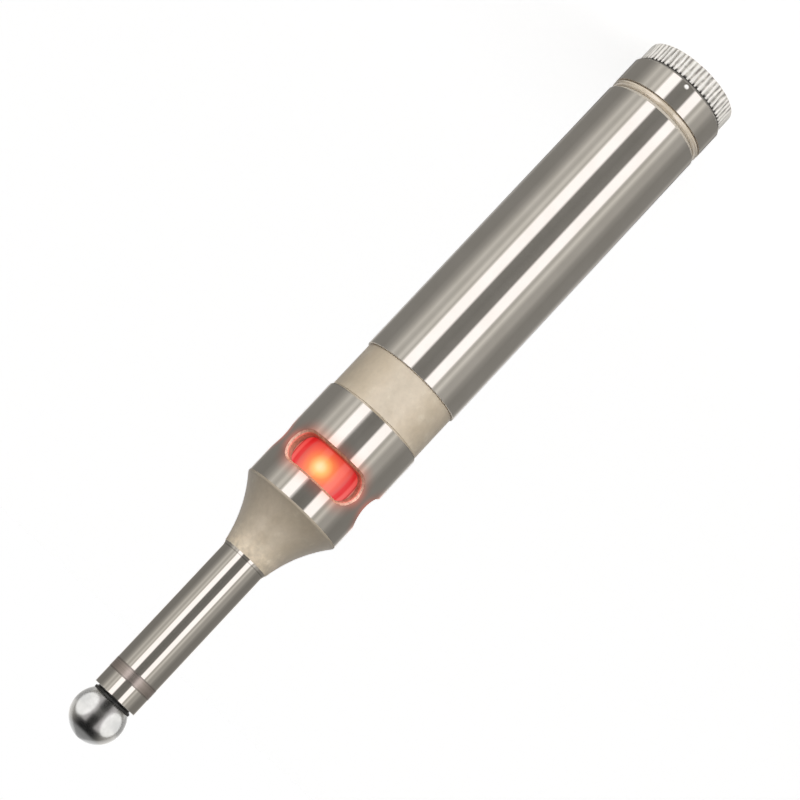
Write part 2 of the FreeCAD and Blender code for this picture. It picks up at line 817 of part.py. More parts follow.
def edges_on(shape, radius, level, reach):
    """Names of the edges that lie on a cylinder about Z, no further than reach from a level."""
    names = []
    for index, edge in enumerate(shape.Edges, start=1):
        points = edge.discretize(5)
        if all(abs(math.hypot(point.x, point.y) - radius) < NEAR for point in points) \
                and all(abs(point.z - level) < reach for point in points):
            names.append("Edge%d" % index)
    return names


def insulating_cone(doc, d, z):
    """Cone with a hollow flare, a foot in the head, and a recess for the stylus nut."""
    base = d.radius.head
    tip = d.radius.stylus_root
    foot = d.radius.head_fit
    hole = d.stud_diameter / 2 + d.seated_gap
    recess = d.nut_width / math.sqrt(3) + d.loose_gap
    recess_top = d.nut_sink + d.nut_height
    shoulder = d.cone_foot + d.cone_land
    top = d.cone_foot + d.cone_length
    body = turned(doc, "insulating_cone", [
        (recess, 0), (foot, 0), (foot, d.cone_foot), (base, d.cone_foot),
        (base, shoulder, d.cone_flare, RIGHT_TURN), (tip, top), (hole, top),
        (hole, recess_top), (recess, recess_top)])
    flare = body.Tip
    rounding = body.newObject("PartDesign::Fillet", "cone_rounding")
    rounding.Base = (flare, edges_on(flare.Shape, base.value, shoulder.value, NEAR))
    rounding.setExpression("Radius", d.cone_round.formula)
    doc.recompute()
    return place(body, z.cone_foot)


def stylus_nut(doc, d, z):
    body = new_body(doc, "stylus_nut")
    sketch = draw_hexagon(new_sketch(body, "nut_section", "XY_Plane"), d.nut_width)
    draw_circle(sketch, 0, 0, d.stud_diameter / 2 + d.pressed_gap)
    pad(body, "nut", sketch, d.nut_height)
    doc.recompute()
    return place(body, z.nut_base)


def stylus_spring(doc, d, z):
    body = coil_spring(doc, "stylus_contact_spring", d.stylus_spring_wire,
                       d.stylus_spring_diameter, d.stylus_spring_turns, d.stylus_spring_length)
    return place(body, z.post_top)


def stylus_tube(doc, d, z):
    """Stylus: a bored tube with a flared root, an inlay groove and a stud below."""
    radius = d.radius.stylus
    stud = d.stud_diameter / 2
    root = d.radius.stylus_root
    bore = d.stylus_bore / 2
    mouth = d.radius.seat_bore
    spread = d.stylus_spread
    bow = (spread.squared() + d.stylus_flare.squared()) / (spread * 2)
    shoulder = z.stylus_base - z.stud_tip
    top = z.seat_base - z.stud_tip
    floor = z.bore_floor - z.stud_tip
    inlay = top - d.inlay_setback - d.inlay_width
    body = turned(doc, "stylus_tube", [
        (0, 0), (stud - d.stylus_edge, 0), (stud, d.stylus_edge), (stud, shoulder),
        (root, shoulder, bow, RIGHT_TURN), (radius, shoulder + d.stylus_flare),
        (radius, inlay), (radius - d.inlay_depth, inlay),
        (radius - d.inlay_depth, inlay + d.inlay_width), (radius, inlay + d.inlay_width),
        (radius, top - d.stylus_edge), (radius - d.stylus_edge, top), (mouth, top),
        (mouth, top - d.seat_spigot), (bore, top - d.seat_spigot),
        (bore, floor), (0, floor)])
    return place(body, z.stud_tip)


def stylus_band(doc, d, z):
    outer = d.radius.stylus
    inner = outer - d.inlay_depth + d.pressed_gap
    body = ring(doc, "stylus_band", inner, outer, d.inlay_width)
    return place(body, z.seat_base - d.inlay_setback - d.inlay_width)


def ball_seat(doc, d, z):
    """Seat: a spigot in the stylus, a neck, and a lip whose hollow face follows the ball."""
    spigot = d.radius.seat_bore - d.seated_gap
    neck = d.seat_neck_diameter / 2
    lip = d.seat_lip_diameter / 2
    mouth = d.seat_mouth / 2
    hole = d.seat_hole / 2
    hollow = d.radius.ball + d.moving_gap
    centre = d.seat_spigot + ball_rise(d)
    mouth_top = centre - (hollow.squared() - mouth.squared()).root()
    neck_top = d.seat_spigot + d.seat_neck
    lip_base = neck_top + d.seat_taper
    body = turned(doc, "ball_seat", [
        (hole, 0), (spigot, 0), (spigot, d.seat_spigot), (neck, d.seat_spigot),
        (neck, neck_top), (lip, lip_base), (lip, lip_base + d.seat_lip, hollow, RIGHT_TURN),
        (mouth, mouth_top), (hole, mouth_top - d.seat_throat)])
    return place(body, z.seat_foot)


def contact_ball(doc, d, z):
    """Ball with a blind hole in its underside for the wire."""
    radius = d.radius.ball
    hole = d.wire_diameter / 2 + d.moving_gap
    mouth = radius - (radius.squared() - hole.squared()).root()
    body = turned(doc, "contact_ball", [
        (hole, mouth, radius, LEFT_TURN), (0, d.ball_diameter), (0, d.ball_hole_depth),
        (hole, d.ball_hole_depth)])
    return place(body, z.ball_centre - radius)


def pull_wire(doc, d, z):
    """Wire from the ball down through the spring, with a head below the cup."""
    radius = d.wire_diameter / 2
    head = d.wire_head_diameter / 2
    top = d.wire_head + d.wire_length
    body = turned(doc, "pull_wire", [
        (0, 0), (head, 0), (head, d.wire_head), (radius, d.wire_head), (radius, top), (0, top)])
    return place(body, z.cup_base - d.wire_head)


def spring_cup(doc, d, z):
    """Cup on the wire that the return spring presses on."""
    inner = d.wire_diameter / 2 + d.pressed_gap
    outer = d.cup_diameter / 2
    hub = d.cup_hub_diameter / 2
    body = turned(doc, "spring_cup", [
        (inner, 0), (outer, 0), (outer, d.cup_thickness), (hub, d.cup_thickness),
        (hub, d.cup_thickness + d.cup_hub), (inner, d.cup_thickness + d.cup_hub)])
    return place(body, z.cup_base)


def return_spring(doc, d, z):
    base = z.cup_base + d.cup_thickness
    body = coil_spring(doc, "return_spring", d.return_spring_wire, d.return_spring_diameter,
                       d.return_spring_turns, z.seat_foot - base)
    return place(body, base)


PIECES = (
    battery_cap, cap_spring, cap_washer, end_collar, collar_lock_pin, seal_ring, shank_tube,
    battery_sleeve, batteries, contact_plunger, plunger_bush, plunger_spring, insulating_core,
    circuit_board, resistor, led_post, lamps, signal_lens, window_housing, insulating_cone,
    stylus_nut, stylus_spring, stylus_tube, stylus_band, ball_seat, contact_ball, pull_wire,
    spring_cup, return_spring,
)


def faults(doc):
    """What failed: features in an invalid state, and pieces without a whole solid."""
    found = ["%s: %s" % (item.Name, state) for item in doc.Objects for state in item.State
             if state in ("Invalid", "Error")]
    for body in sub_parts(doc):
        shape = body.Shape
        if shape.isNull() or not shape.isValid() or len(shape.Solids) != 1:
            found.append("%s: no valid solid" % body.Label)
    return found


def sub_parts(doc):
    return [item for item in doc.Objects if item.TypeId == "PartDesign::Body"]


def main():
    doc = FreeCAD.newDocument("EdgeFinder")
    d = make_sheet(doc)
    add_fits(d)
    z = stack_levels(d)
    for piece in PIECES:
        piece(doc, d, z)
    doc.recompute()
    found = faults(doc)
    if found:
        raise RuntimeError("; ".join(found))
    os.makedirs("parts", exist_ok=True)
    for body in sub_parts(doc):
        body.Shape.exportStep("parts/%s.step" % body.Label)
        print("%s: %.1f mm3" % (body.Label, body.Shape.Volume))


main()
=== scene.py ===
import json
import math

import bmesh
import bpy
from mathutils import Matrix, Vector


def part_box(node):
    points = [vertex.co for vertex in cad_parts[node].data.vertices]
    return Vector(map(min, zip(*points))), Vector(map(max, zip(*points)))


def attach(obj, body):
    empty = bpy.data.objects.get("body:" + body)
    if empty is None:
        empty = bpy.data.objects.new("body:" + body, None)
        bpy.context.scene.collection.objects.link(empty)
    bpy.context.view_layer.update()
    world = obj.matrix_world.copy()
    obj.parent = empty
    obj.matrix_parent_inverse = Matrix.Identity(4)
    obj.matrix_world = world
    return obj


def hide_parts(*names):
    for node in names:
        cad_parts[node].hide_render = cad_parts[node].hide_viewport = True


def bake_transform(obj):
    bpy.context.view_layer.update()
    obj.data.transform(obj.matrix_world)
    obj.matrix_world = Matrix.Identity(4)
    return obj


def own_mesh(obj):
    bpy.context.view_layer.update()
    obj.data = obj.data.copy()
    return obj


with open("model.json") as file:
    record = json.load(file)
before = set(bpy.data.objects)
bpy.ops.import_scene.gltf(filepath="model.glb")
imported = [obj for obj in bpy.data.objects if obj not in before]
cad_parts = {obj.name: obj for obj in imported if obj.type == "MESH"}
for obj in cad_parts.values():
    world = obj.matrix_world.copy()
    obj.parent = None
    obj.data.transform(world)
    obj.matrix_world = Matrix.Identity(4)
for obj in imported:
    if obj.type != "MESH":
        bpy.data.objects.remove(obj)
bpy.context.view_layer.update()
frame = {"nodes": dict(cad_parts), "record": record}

# Metres, as the frame is. The tool stands on its cap, +Z runs up to the ball, and the
# photograph looks at the -Y side.
MM = 0.001


def ends(node):
    """A node's lowest and highest place along the tool."""
    low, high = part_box(node)
    return low.z, high.z


# ---- sizes that the CAD nodes don't give ----

# the photograph's camera, from its fit to the tool's own diameters and lengths
CAMERA_DISTANCE = 403.8 * MM
CAMERA_HEIGHT = 150.02 * MM
CAMERA_YAW = math.radians(-0.12)
CAMERA_PITCH = math.radians(-9.91)
CAMERA_ROLL = math.radians(223.09)
CAMERA_LENS = 105.17
CAMERA_SENSOR = 36.0
CAMERA_CLIP = (0.01, 50)

# the cap: a knurled head below, and a threaded spigot with a bore above it
CAP_TOP = ends("battery_cap")[1]
CAP_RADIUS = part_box("battery_cap")[1].x
CAP_EDGE = 0.45 * MM
CAP_BACK_EDGE = 0.12 * MM
CAP_FLOOR = 2.0 * MM
CAP_BORE = 6.35 * MM
EDGE_ROWS = 4
SHARP_ANGLE = math.radians(38)

KNURL_LENGTH = ends("cap_washer")[0]
KNURL_TEETH = 60
KNURL_DEPTH = 0.36 * MM
KNURL_STEPS = 14
KNURL_ROWS = 10
# a tooth's shift, as a share of its width, is the sum of waves, each given by its size, its
# radians a tooth and its radians a mm of height
KNURL_SWAYS = ((0.06, 3.1, 1.3), (0.07, 1.7, 0.0), (0.025, 5.3, 7.0))
# a groove's depth changes by this share, with its own radians a tooth and a mm of height
KNURL_SHALLOW = 0.16
KNURL_SHALLOW_WAVE = (2.3, 1.1)

SPIGOT_RADIUS = 7.85 * MM
SPIGOT_EDGE = 0.45 * MM
SPIGOT_SINK = 0.02 * MM
THREAD_PITCH = 1.0 * MM
THREAD_DEPTH = 0.42 * MM
THREAD_CREST = 0.16
THREAD_RUNOUT = 0.6
THREAD_STEPS = 160
THREAD_ROWS = 16

# the ball's wire, between the seat's throat and the ball
WIRE_RADIUS = 0.4 * MM
WIRE_HEAD = 0.6 * MM
WIRE_STEPS = 20
WIRE_RING = 0.12 * MM

# the stylus's flare at its root, how much of its tilt the mirroring keeps, and how far from
# the line at its middle the steel is painted dull, as shade where its reflection breaks
FLARE_LENGTH = 1.1 * MM
FLARE_TILT = 0.15
FLARE_SHADE_LINE = (0.04 * MM, 0.16 * MM)

# the head's windows: half a window's length without its round end, that end's radius, and
# the chamfer's width
WINDOW_COUNT = 3
WINDOW_TURN = math.radians(5.3)
WINDOW_HEIGHT = ends("window_housing")[0] + 12.7 * MM
WINDOW_ZONE = (4.6 * MM, 4.4 * MM)
HEAD_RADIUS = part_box("window_housing")[1].x
LENS_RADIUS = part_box("signal_lens")[1].x
SLOT_REACH = math.radians(30) * HEAD_RADIUS
SLOT_RADIUS = 3.1 * MM
RIM_WIDTH = 0.4 * MM
GLOW_REACH = 2.8 * MM
# the lamp shows a little off its window's middle, and the lens has bowed streaks of painted
# refraction and highlight at its sides
GLOW_SWING = math.radians(4)
GLOW_RISE = 0.4 * MM
GLOW_RADIUS = 8 * MM
LENS_STREAK_SPAN = (math.radians(26), math.radians(60))
STREAK_BOW = math.radians(3) / (3 * MM) ** 2

FLOOR_RADIUS = 6.0

# ---- light ----

# What metal mirrors. It is painted by the direction halfway between a mirrored ray and the
# photograph's side, so a band there is a straight band along the tool, at that share of its
# radius towards +X. Each stop is a share and its level. The barrel bands are for rays that
# leave nearly level, the overhead bands for steeper ones.
BARREL_BANDS = (
    (-1.0, 1.25), (-0.975, 0.38), (-0.93, 0.25), (-0.76, 0.24), (-0.68, 0.30), (-0.62, 0.41),
    (-0.53, 0.41), (-0.50, 0.48), (-0.45, 0.69), (-0.39, 0.46), (-0.361, 0.54),
    (-0.334, 1.25), (-0.185, 1.25), (-0.149, 0.23), (0.0, 0.19), (0.134, 0.215),
    (0.174, 1.25), (0.329, 1.25), (0.354, 0.70), (0.375, 0.48), (0.405, 0.64), (0.44, 0.68),
    (0.47, 0.54), (0.50, 0.47), (0.53, 0.50), (0.58, 0.60), (0.64, 0.42), (0.70, 0.31),
    (0.78, 0.24), (0.95, 0.24), (0.98, 0.34), (1.0, 1.25),
)
OVERHEAD_BANDS = (
    (-1.0, 1.0), (-0.88, 0.85), (-0.50, 0.66), (-0.42, 0.80), (-0.36, 1.25), (-0.20, 1.25),
    (-0.13, 0.10), (0.0, 0.03), (0.16, 0.08), (0.22, 1.25), (0.38, 1.25), (0.44, 0.80),
    (0.52, 0.66), (0.88, 0.85), (1.0, 1.0),
)
STEEP_UP = (0.03, 0.14)
STEEP_DOWN = (-0.39, -0.50)
WARM = (1.0, 0.957, 0.890)
NEUTRAL = (1.0, 0.955, 0.950)
# surfaces that face steeply down mirror the dark, as the lower edges show
BELOW = (-0.62, -0.70)
BELOW_LEVEL = 0.16
# a dark strip overhead, which crosses the top of the ball, and plain grey behind it
STRIP_STARTS = (0.38, 0.46)
STRIP_STOPS = (0.66, 0.76)
STRIP_REACH = (0.30, 0.72)
STRIP_LEVEL = 0.04
BEHIND_LEVEL = 0.75
# dark parts are a little darker for rays that leave almost level
LEVEL_RAYS = (-0.17, -0.08)
LEVEL_GAMMA = 1.12
TINY = 1e-6

# soft lamps for the ball alone, two beside it and two behind it, each with its azimuth,
# width, height and level
BALL_LAMPS = (
    (math.radians(73), 270 * MM, 280 * MM, 2.25),
    (math.radians(150), 180 * MM, 420 * MM, 0.7),
)
BALL_LAMP_CLIMB = -0.08
BALL_LAMP_DISTANCE = 150 * MM

# plain light for matt surfaces: a soft key before and behind the tool, from a little below,
# and some fill
KEY_LEVELNESS = 0.899
KEY_DROP = 0.438
KEY_EDGE = 0.55
KEY_LEVEL = 3.2
KEY_TINT = (1.0, 0.99, 0.97)
FILL_LEVEL = 0.06

# a soft high sun for the floor alone, so that it shows the tool's shadow
SUN_FROM = Vector((-0.15, -0.33, 0.93))
SUN_SPREAD = math.radians(35)
SUN_LEVEL = 0.16
FLOOR_COLOUR = 0.86
FLOOR_GLOW = 0.752

# ---- colours, as stops of a place from 0 to 1 and a colour or a factor ----

# the head's milled walls, from the lens outwards
WALL_LIGHT = (
    (0.0, (0.02, 0.0, 0.0)), (0.15, (0.04, 0.002, 0.001)), (0.35, (0.11, 0.010, 0.004)),
    (0.80, (0.13, 0.020, 0.008)), (0.83, (0.12, 0.028, 0.014)), (1.0, (0.10, 0.025, 0.013)),
)
# painted light and shade on the cone, from the head to the stylus, and on the ring, from its
# lower end to its upper
CONE_SHADE = (
    (0.0, 0.68), (0.035, 0.70), (0.06, 0.80), (0.40, 0.84), (0.66, 0.93), (0.86, 1.14),
    (1.0, 1.20),
)
SEAL_SHADE = ((0.0, 0.80), (0.25, 0.88), (0.5, 1.15), (0.8, 1.38), (1.0, 1.25))
# the lens: its lamp's glow outwards, its painted refraction streaks and highlights sideways,
# its shade upwards, and its light paler towards the ball and redder towards the cap
LENS_GLOW = (
    (0.0, (1.00, 0.93, 0.50)), (0.075, (1.00, 0.86, 0.38)), (0.16, (0.98, 0.60, 0.17)),
    (0.28, (0.95, 0.28, 0.085)), (0.42, (0.91, 0.17, 0.10)), (0.63, (0.88, 0.125, 0.095)),
    (1.0, (0.80, 0.10, 0.075)),
)
LENS_STREAKS = (
    (0.0, (1.0, 1.0, 1.0)), (0.10, (0.94, 0.90, 0.95)), (0.22, (0.80, 0.80, 0.95)),
    (0.31, (0.84, 0.26, 0.42)), (0.45, (0.80, 0.20, 0.34)), (0.54, (1.0, 1.15, 1.4)),
    (0.66, (0.98, 1.10, 1.35)), (0.73, (0.50, 0.22, 0.26)), (0.80, (0.88, 2.4, 2.6)),
    (0.88, (0.80, 1.9, 2.0)), (0.94, (0.50, 0.60, 0.6)), (1.0, (0.40, 0.40, 0.35)),
)
LENS_SHADE = (
    (0.0, (0.34, 0.16, 0.16)), (0.12, (0.58, 0.34, 0.30)), (0.30, (0.92, 0.78, 0.72)),
    (1.0, (1.0, 1.0, 1.0)),
)
LENS_SLOPE = (
    (0.0, (1.0, 1.25, 1.3)), (0.4, (1.0, 1.0, 1.05)), (0.65, (1.0, 0.85, 0.8)),
    (1.0, (1.0, 0.45, 0.5)),
)


# ---- shader nodes ----

def node_of(tree, kind, **settings):
    """A shader node, its attributes set by name."""
    node = tree.nodes.new("ShaderNode" + kind)
    for name, value in settings.items():
        setattr(node, name, value)
    return node


def feed(tree, item, socket):
    """Link a socket, or set a plain value."""
    if isinstance(item, bpy.types.NodeSocket):
        tree.links.new(item, socket)
    else:
        socket.default_value = item


def split(tree, vector):
    """A vector's X, Y and Z."""
    node = node_of(tree, "SeparateXYZ")
    feed(tree, vector, node.inputs[0])
    return node.outputs


def calc(tree, operation, *items, clamp=False):
    """A Math node's result."""
    node = node_of(tree, "Math", operation=operation, use_clamp=clamp)
    for socket, item in zip(node.inputs, items):
        feed(tree, item, socket)
    return node.outputs[0]


def distance(tree, first, second):
    """How far a point is that lies so far off in two directions."""
    square = calc(tree, "MULTIPLY", second, second)
    return calc(tree, "SQRT", calc(tree, "MULTIPLY_ADD", first, first, square))


def azimuth(tree, x, y):
    """The direction of X and Y, in radians from -Y towards +X."""
    return calc(tree, "ARCTAN2", x, calc(tree, "MULTIPLY", y, -1.0))


def mapped(tree, value, low, high, to_low=0.0, to_high=1.0, smooth=False):
    """A value moved from one range to another, held at its ends."""
    kind = "SMOOTHSTEP" if smooth else "LINEAR"
    node = node_of(tree, "MapRange", interpolation_type=kind)
    names = ("Value", "From Min", "From Max", "To Min", "To Max")
    for name, item in zip(names, (value, low, high, to_low, to_high)):
        feed(tree, item, node.inputs[name])
    return node.outputs["Result"]


def solid(colour):
    """An RGBA colour from a grey or an RGB one."""
    rgb = (colour,) * 3 if isinstance(colour, (int, float)) else tuple(colour)[:3]
    return rgb + (1.0,)


def ramp(tree, value, stops):
    """A colour ramp from (place, grey or colour) stops."""
    node = node_of(tree, "ValToRGB")
    elements = node.color_ramp.elements
    while len(elements) < len(stops):
        elements.new(1.0)
    for element, (place, colour) in zip(elements, stops):
        element.position = place
        element.color = solid(colour)
    feed(tree, value, node.inputs["Fac"])
    return node.outputs["Color"]


def mix(tree, factor, first, second, blend="MIX"):
    """A colour between two, by a factor."""
    node = node_of(tree, "Mix", data_type="RGBA", blend_type=blend)
    for name, item in (("Factor_Float", factor), ("A_Color", first), ("B_Color", second)):
        socket = next(s for s in node.inputs if s.identifier == name)
        if not isinstance(item, bpy.types.NodeSocket) and name != "Factor_Float":
            item = solid(item)
        feed(tree, item, socket)
    return next(s for s in node.outputs if s.identifier == "Result_Color")


def times(tree, first, second):
    """Two colours multiplied."""
    return mix(tree, 1.0, first, second, "MULTIPLY")


def mix_value(tree, factor, first, second):
    """A plain number between two, by a factor."""
    part = calc(tree, "MULTIPLY", calc(tree, "SUBTRACT", second, first), factor)
    return calc(tree, "ADD", part, first)


def noise(tree, vector, scale, detail=2.0, roughness=0.5):
    """Noise about 0.5."""
    node = node_of(tree, "TexNoise")
    feed(tree, vector, node.inputs["Vector"])
    node.inputs["Scale"].default_value = scale
    node.inputs["Detail"].default_value = detail
    node.inputs["Roughness"].default_value = roughness
    return node.outputs["Fac"]


def stretched(tree, vector, scale):
    """A place with its axes scaled, for grain that runs one way."""
    node = node_of(tree, "Mapping")
    feed(tree, vector, node.inputs["Vector"])
    node.inputs["Scale"].default_value = scale
    return node.outputs["Vector"]


def bump(tree, height, strength, depth):
    """A normal tilted by a height."""
    node = node_of(tree, "Bump")
    feed(tree, height, node.inputs["Height"])
    node.inputs["Strength"].default_value = strength
    node.inputs["Distance"].default_value = depth
    return node.outputs["Normal"]


# ---- materials ----

class Material:
    """A principled material with its tree, and the place that its textures start from."""

    def __init__(self, name, colour, metallic, roughness, **inputs):
        self.material = bpy.data.materials.new(name)
        self.material.use_nodes = True
        self.material.diffuse_color = solid(colour)
        self.tree = self.material.node_tree
        self.shader = self.tree.nodes["Principled BSDF"]
        self.set("Base Color", solid(colour))
        self.set("Metallic", metallic)
        self.set("Roughness", roughness)
        for key, value in inputs.items():
            self.set(key.replace("_", " "), value)
        self.place = node_of(self.tree, "TexCoord").outputs["Object"]

    def set(self, name, item):
        """Feed one of the shader's inputs."""
        feed(self.tree, item, self.shader.inputs[name])

    def fed(self, name):
        """What already feeds one of the shader's inputs."""
        return self.shader.inputs[name].links[0].from_socket

    def axes(self):
        """X, Y and Z of the place."""
        return split(self.tree, self.place)

    def radius(self):
        """Distance from the tool's axis."""
        x, y, _z = self.axes()
        return distance(self.tree, x, y)


def ground_steel(name):
    """Cylindrically ground and polished: fine rings round the axis and a faint bloom."""
    dark, light = (0.80, 0.775, 0.73), (0.845, 0.82, 0.78)
    m = Material(name, light, 1.0, 0.05)
    tree = m.tree
    rings = noise(tree, stretched(tree, m.place, (40, 40, 9000)), 1.0, 3.0, 0.6)
    bloom = noise(tree, m.place, 140.0, 3.0, 0.6)
    m.set("Base Color", mix(tree, mapped(tree, bloom, 0.35, 0.7), dark, light))
    m.set("Roughness", calc(tree, "ADD", mapped(tree, rings, 0.3, 0.7, 0.035, 0.06),
                            mapped(tree, bloom, 0.3, 0.8, 0.0, 0.02)))
    m.set("Normal", bump(tree, rings, 0.03, 0.00001))
    return m


def edged_steel(name, node, lower):
    """Ground steel whose broken edges and end faces are satin, painted lighter at the upper
    end as light and darker at the lower end as shade, the lower ones in a colour of their own."""
    m = ground_steel(name)
    tree = m.tree
    low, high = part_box(node)
    edge = mapped(tree, m.radius(), high.x - 0.015 * MM, high.x - 0.035 * MM)
    # the upper edges' pale colour is painted light, and the lower edges' darker colour painted
    # shade
    upper = (0.86, 0.80, 0.72)
    satin = mix(tree, mapped(tree, m.axes()[2], low.z, high.z), lower, upper)
    m.set("Base Color", mix(tree, edge, m.fed("Base Color"), satin))
    m.set("Metallic", mapped(tree, edge, 0.0, 1.0, 1.0, 0.25))
    satin_roughness = calc(tree, "MULTIPLY", edge, 0.45)
    m.set("Roughness", calc(tree, "MAXIMUM", m.fed("Roughness"), satin_roughness))
    return m.material


def stylus_steel():
    """The stylus: the short flare at its root is burnished, and mirrors nearly as the
    straight part does, but for a dull line painted round it as shade where its reflection
    breaks."""
    m = ground_steel("stylus_steel")
    tree = m.tree
    above = calc(tree, "SUBTRACT", m.axes()[2], ends("insulating_cone")[1])
    keep = mapped(tree, above, FLARE_LENGTH, FLARE_LENGTH + 0.1 * MM, FLARE_TILT, 1.0)
    x, y, z = split(tree, node_of(tree, "NewGeometry").outputs["Normal"])
    flatter = node_of(tree, "CombineXYZ")
    for item, socket in zip((x, y, calc(tree, "MULTIPLY", z, keep)), flatter.inputs):
        feed(tree, item, socket)
    unit = node_of(tree, "VectorMath", operation="NORMALIZE")
    feed(tree, flatter.outputs[0], unit.inputs[0])
    feed(tree, unit.outputs[0], m.fed("Normal").node.inputs["Normal"])
    # a dull line painted round the flare's middle, as shade where its reflection breaks
    line = calc(tree, "ABSOLUTE", calc(tree, "SUBTRACT", above, FLARE_LENGTH / 2))
    plain = mapped(tree, line, *FLARE_SHADE_LINE)
    m.set("Base Color", mix(tree, plain, (0.60, 0.58, 0.55), m.fed("Base Color")))
    return m.material


def window_place(m, radius):
    """Where a point is from the middle of its nearest window: the angle round the tool's
    axis, the arc that it makes at a radius, and the height."""
    tree = m.tree
    sweep = 2 * math.pi / WINDOW_COUNT
    x, y, z = m.axes()
    turned_by = calc(tree, "SUBTRACT", azimuth(tree, x, y), WINDOW_TURN - sweep / 2)
    along = calc(tree, "FLOORED_MODULO", turned_by, sweep)
    along = calc(tree, "SUBTRACT", along, sweep / 2)
    across = calc(tree, "MULTIPLY", along, radius)
    up = calc(tree, "SUBTRACT", z, WINDOW_HEIGHT)
    return along, across, up


def head_steel():
    """The head: ground outside, its windows' milled walls satin, all tinged by the red
    light."""
    m = ground_steel("head_steel")
    tree = m.tree
    _along, across, up = window_place(m, HEAD_RADIUS)
    height = calc(tree, "ABSOLUTE", up)
    over = calc(tree, "SUBTRACT", calc(tree, "ABSOLUTE", across), SLOT_REACH)
    over = calc(tree, "MAXIMUM", over, 0.0)
    beyond = calc(tree, "SUBTRACT", distance(tree, over, up), SLOT_RADIUS + RIM_WIDTH)
    glow = mapped(tree, beyond, 0.0, GLOW_REACH, 1.0, 0.0)
    glow = calc(tree, "MULTIPLY", glow, glow)

    # the milled faces, how near they are to a window's end, and their walls below the rim
    radius = m.radius()
    milled = mapped(tree, radius, HEAD_RADIUS - 0.02 * MM, HEAD_RADIUS - 0.04 * MM)
    milled = calc(tree, "MULTIPLY", milled, mapped(tree, height, *WINDOW_ZONE))
    at_end = mapped(tree, over, 0.2 * MM, 2.4 * MM, smooth=True)
    inside = calc(tree, "SUBTRACT", HEAD_RADIUS - RIM_WIDTH, radius)
    wall = mix_value(tree, at_end, mapped(tree, inside, -0.02 * MM, 0.0),
                     mapped(tree, inside, 0.25 * MM, 0.60 * MM, smooth=True))
    chatter = noise(tree, m.place, 2300.0, 3.0, 0.65)
    chatter = mapped(tree, chatter, 0.32, 0.68, 0.62, 1.18)

    # the rim's and the walls' warm colours are painted red light, and the rim is paler at a
    # window's ends as a painted highlight
    rim_colour = mix(tree, at_end, (0.68, 0.40, 0.28), (0.98, 0.62, 0.50))
    wall_colour = (0.40, 0.30, 0.21)
    face_colour = times(tree, mix(tree, wall, rim_colour, wall_colour), chatter)
    tinge = calc(tree, "MULTIPLY", glow, 0.62)
    tinged = mix(tree, tinge, m.fed("Base Color"), (1.0, 0.48, 0.38))
    m.set("Base Color", mix(tree, milled, tinged, face_colour))
    satin_roughness = calc(tree, "MULTIPLY", milled, 0.34)
    m.set("Roughness", calc(tree, "MAXIMUM", m.fed("Roughness"), satin_roughness))
    m.set("Metallic", mix_value(tree, milled, 1.0, mix_value(tree, wall, 0.45, 0.25)))

    # the red light on the walls and, weaker, on the ground steel beside them
    light = ramp(tree, mapped(tree, radius, LENS_RADIUS, HEAD_RADIUS), WALL_LIGHT)
    light = times(tree, light, chatter)
    m.set("Emission Color", mix(tree, milled, (0.90, 0.16, 0.11), light))
    sides = mapped(tree, over, 0.3 * MM, 2.6 * MM, 0.10, 0.34, smooth=True)
    middle = mapped(tree, height, 0.4 * MM, 3.2 * MM, 1.0, 0.15, smooth=True)
    shine = mix_value(tree, at_end, sides, calc(tree, "MULTIPLY", sides, middle))
    shine = calc(tree, "MULTIPLY", glow, shine)
    m.set("Emission Strength", mix_value(tree, milled, shine, 1.0))
    return m.material


def lens_red():
    """Red clear acrylic, lit from inside by a lamp behind each window, with bowed streaks of
    painted refraction and highlight at its sides.
    """
    m = Material("lens_red", (0.16, 0.012, 0.010), 0.0, 0.12,
                 IOR=1.49, Coat_Weight=0.3, Coat_Roughness=0.05)
    tree = m.tree
    along, across, up = window_place(m, LENS_RADIUS)
    aside = calc(tree, "SUBTRACT", across, GLOW_SWING * LENS_RADIUS)
    above = calc(tree, "SUBTRACT", up, GLOW_RISE)
    off = mapped(tree, distance(tree, aside, above), 0.0, GLOW_RADIUS)
    bow = calc(tree, "MULTIPLY", calc(tree, "MULTIPLY", up, up), STREAK_BOW)
    bowed = calc(tree, "ADD", calc(tree, "ABSOLUTE", along), bow)
    side = calc(tree, "SUBTRACT", calc(tree, "MULTIPLY", across, 0.2), up)
    # painted refraction streaks and highlights at the lens's sides
    lit = times(tree, ramp(tree, off, LENS_GLOW),
                ramp(tree, mapped(tree, bowed, *LENS_STREAK_SPAN), LENS_STREAKS))
    lit = times(tree, lit, ramp(tree, mapped(tree, up, -3.3 * MM, -1.6 * MM), LENS_SHADE))
    lit = times(tree, lit, ramp(tree, mapped(tree, side, -3.5 * MM, 3.5 * MM), LENS_SLOPE))
    m.set("Emission Color", lit)
    m.set("Emission Strength", 0.88)
    return m.material


def ball_chrome():
    """Hardened steel, polished, with a faint haze."""
    m = Material("ball_chrome", (0.285, 0.285, 0.28), 1.0, 0.23)
    tree = m.tree
    haze = noise(tree, m.place, 900.0, 4.0, 0.65)
    m.set("Base Color", mix(tree, mapped(tree, haze, 0.35, 0.7),
                            (0.27, 0.27, 0.265), (0.30, 0.30, 0.295)))
    m.set("Roughness", mapped(tree, haze, 0.3, 0.75, 0.21, 0.25))
    m.set("Normal", bump(tree, haze, 0.02, 0.00002))
    return m.material


